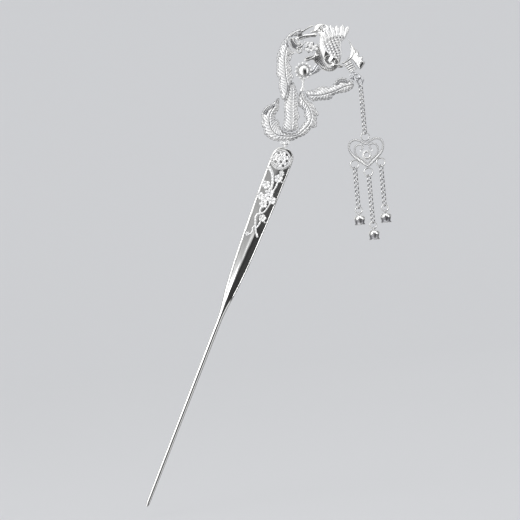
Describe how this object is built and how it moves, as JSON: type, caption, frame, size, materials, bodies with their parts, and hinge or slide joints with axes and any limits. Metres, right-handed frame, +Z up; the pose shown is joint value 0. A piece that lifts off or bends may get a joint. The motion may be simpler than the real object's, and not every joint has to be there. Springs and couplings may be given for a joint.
{
  "type": "decorative hair pin",
  "caption": "Silver hair stick with a phoenix ornament in relief and a jointed chain tassel with a heart pendant and small bells.",
  "frame": {"origin": "on the pin's axis, 75 mm below the solder joint, at the middle of the stretch that the hair holds", "axes": "+Z up, along the hanging tassel; +X to the right seen from the front, from the pin towards the tassel; -Y to the front of the ornament"},
  "size_m": [0.0971, 0.0054, 0.1669],
  "materials": {
    "polished_silver": "polished silver",
    "satin_silver": "white satin silver with chased relief",
    "oxidised_silver": "silver darkened in its recesses"
  },
  "bodies": {
    "root": {"pin_shaft": "polished_silver", "blade_medallion": "satin_silver", "blossom_sprig": "satin_silver", "tail_collar": "satin_silver", "tail_feather_outer": "satin_silver", "tail_feather_centre": "satin_silver", "tail_feather_loop": "satin_silver", "tail_feather_side": "satin_silver", "body_shell": "polished_silver", "near_wing": "satin_silver", "far_wing": "polished_silver", "crest_plume": "polished_silver", "neck_collar": "satin_silver", "head": "oxidised_silver", "breast_curls": "satin_silver", "claw": "polished_silver", "bow_leaf": "polished_silver", "back_ribbon": "polished_silver", "flower_petals": "satin_silver", "flower_bead": "polished_silver", "flower_stem": "satin_silver", "flower_leaf": "oxidised_silver", "beak_ring": "polished_silver"},
    "main_link_01": {"main_link_01": "polished_silver"},
    "main_link_02": {"main_link_02": "polished_silver"},
    "main_link_03": {"main_link_03": "polished_silver"},
    "main_link_04": {"main_link_04": "polished_silver"},
    "main_link_05": {"main_link_05": "polished_silver"},
    "main_link_06": {"main_link_06": "polished_silver"},
    "main_link_07": {"main_link_07": "polished_silver"},
    "main_link_08": {"main_link_08": "polished_silver"},
    "main_link_09": {"main_link_09": "polished_silver"},
    "main_link_10": {"main_link_10": "polished_silver"},
    "main_link_11": {"main_link_11": "polished_silver"},
    "heart": {"heart_ring": "polished_silver", "heart_frame": "satin_silver", "heart_scroll": "satin_silver", "heart_rosette": "polished_silver", "left_eye": "polished_silver", "centre_eye": "polished_silver", "right_eye": "polished_silver"},
    "left_chain_1": {"left_chain_1": "polished_silver"},
    "left_chain_2": {"left_chain_2": "polished_silver"},
    "left_chain_3": {"left_chain_3": "polished_silver"},
    "left_end_ring": {"left_end_ring": "polished_silver"},
    "left_bell": {"left_bell": "polished_silver"},
    "centre_chain_1": {"centre_chain_1": "polished_silver"},
    "centre_chain_2": {"centre_chain_2": "polished_silver"},
    "centre_chain_3": {"centre_chain_3": "polished_silver"},
    "centre_end_ring": {"centre_end_ring": "polished_silver"},
    "centre_bell": {"centre_bell": "polished_silver"},
    "right_chain_1": {"right_chain_1": "polished_silver"},
    "right_chain_2": {"right_chain_2": "polished_silver"},
    "right_chain_3": {"right_chain_3": "polished_silver"},
    "right_end_ring": {"right_end_ring": "polished_silver"},
    "right_bell": {"right_bell": "polished_silver"}
  },
  "joints": [
    {"name": "main_link_01_swing", "type": "hinge", "parent": "root", "child": "main_link_01", "pos_m": [0.06164, 0, 0.08582], "axis": [0, 1, 0], "range_deg": [-25, 25]},
    {"name": "main_link_02_swing", "type": "hinge", "parent": "main_link_01", "child": "main_link_02", "pos_m": [0.06164, 0, 0.08427], "axis": [1, 0, 0], "range_deg": [-25, 25]},
    {"name": "main_link_03_swing", "type": "hinge", "parent": "main_link_02", "child": "main_link_03", "pos_m": [0.06164, 0, 0.08271], "axis": [0, -1, 0], "range_deg": [-25, 25]},
    {"name": "main_link_04_swing", "type": "hinge", "parent": "main_link_03", "child": "main_link_04", "pos_m": [0.06164, 0, 0.08115], "axis": [-1, 0, 0], "range_deg": [-25, 25]},
    {"name": "main_link_05_swing", "type": "hinge", "parent": "main_link_04", "child": "main_link_05", "pos_m": [0.06164, 0, 0.07959], "axis": [0, 1, 0], "range_deg": [-25, 25]},
    {"name": "main_link_06_swing", "type": "hinge", "parent": "main_link_05", "child": "main_link_06", "pos_m": [0.06164, 0, 0.07802], "axis": [1, 0, 0], "range_deg": [-25, 25]},
    {"name": "main_link_07_swing", "type": "hinge", "parent": "main_link_06", "child": "main_link_07", "pos_m": [0.06164, 0, 0.07646], "axis": [0, -1, 0], "range_deg": [-25, 25]},
    {"name": "main_link_08_swing", "type": "hinge", "parent": "main_link_07", "child": "main_link_08", "pos_m": [0.06164, 0, 0.0749], "axis": [-1, 0, 0], "range_deg": [-25, 25]},
    {"name": "main_link_09_swing", "type": "hinge", "parent": "main_link_08", "child": "main_link_09", "pos_m": [0.06164, 0, 0.07334], "axis": [0, 1, 0], "range_deg": [-25, 25]},
    {"name": "main_link_10_swing", "type": "hinge", "parent": "main_link_09", "child": "main_link_10", "pos_m": [0.06164, 0, 0.07178], "axis": [1, 0, 0], "range_deg": [-25, 25]},
    {"name": "main_link_11_swing", "type": "hinge", "parent": "main_link_10", "child": "main_link_11", "pos_m": [0.06164, 0, 0.07022], "axis": [0, -1, 0], "range_deg": [-25, 25]},
    {"name": "heart_swing", "type": "hinge", "parent": "main_link_11", "child": "heart", "pos_m": [0.06164, 0, 0.06866], "axis": [-1, 0, 0], "range_deg": [-18, 18]},
    {"name": "left_chain_1_swing", "type": "hinge", "parent": "heart", "child": "left_chain_1", "pos_m": [0.05694, 0, 0.05663], "axis": [0, 1, 0], "range_deg": [-4, 22]},
    {"name": "left_chain_2_swing", "type": "hinge", "parent": "left_chain_1", "child": "left_chain_2", "pos_m": [0.05694, 0, 0.05187], "axis": [1, 0, 0], "range_deg": [-25, 25]},
    {"name": "left_chain_3_swing", "type": "hinge", "parent": "left_chain_2", "child": "left_chain_3", "pos_m": [0.05694, 0, 0.04709], "axis": [0, 1, 0], "range_deg": [-8, 25]},
    {"name": "left_end_ring_swing", "type": "hinge", "parent": "left_chain_3", "child": "left_end_ring", "pos_m": [0.05694, 0, 0.04231], "axis": [-1, 0, 0], "range_deg": [-20, 20]},
    {"name": "left_bell_swing", "type": "hinge", "parent": "left_end_ring", "child": "left_bell", "pos_m": [0.05694, 0, 0.04043], "axis": [0, -1, 0], "range_deg": [-25, 25]},
    {"name": "centre_chain_1_swing", "type": "hinge", "parent": "heart", "child": "centre_chain_1", "pos_m": [0.06164, 0, 0.05348], "axis": [0, 1, 0], "range_deg": [-4, 4]},
    {"name": "centre_chain_2_swing", "type": "hinge", "parent": "centre_chain_1", "child": "centre_chain_2", "pos_m": [0.06164, 0, 0.04734], "axis": [1, 0, 0], "range_deg": [-25, 25]},
    {"name": "centre_chain_3_swing", "type": "hinge", "parent": "centre_chain_2", "child": "centre_chain_3", "pos_m": [0.06164, 0, 0.04118], "axis": [0, 1, 0], "range_deg": [-8, 8]},
    {"name": "centre_end_ring_swing", "type": "hinge", "parent": "centre_chain_3", "child": "centre_end_ring", "pos_m": [0.06164, 0, 0.03656], "axis": [-1, 0, 0], "range_deg": [-20, 20]},
    {"name": "centre_bell_swing", "type": "hinge", "parent": "centre_end_ring", "child": "centre_bell", "pos_m": [0.06164, 0, 0.03468], "axis": [0, -1, 0], "range_deg": [-25, 25]},
    {"name": "right_chain_1_swing", "type": "hinge", "parent": "heart", "child": "right_chain_1", "pos_m": [0.06634, 0, 0.05663], "axis": [0, 1, 0], "range_deg": [-22, 4]},
    {"name": "right_chain_2_swing", "type": "hinge", "parent": "right_chain_1", "child": "right_chain_2", "pos_m": [0.06634, 0, 0.05187], "axis": [1, 0, 0], "range_deg": [-25, 25]},
    {"name": "right_chain_3_swing", "type": "hinge", "parent": "right_chain_2", "child": "right_chain_3", "pos_m": [0.06634, 0, 0.04709], "axis": [0, 1, 0], "range_deg": [-25, 8]},
    {"name": "right_end_ring_swing", "type": "hinge", "parent": "right_chain_3", "child": "right_end_ring", "pos_m": [0.06634, 0, 0.04231], "axis": [-1, 0, 0], "range_deg": [-20, 20]},
    {"name": "right_bell_swing", "type": "hinge", "parent": "right_end_ring", "child": "right_bell", "pos_m": [0.06634, 0, 0.04043], "axis": [0, -1, 0], "range_deg": [-25, 25]}
  ]
}
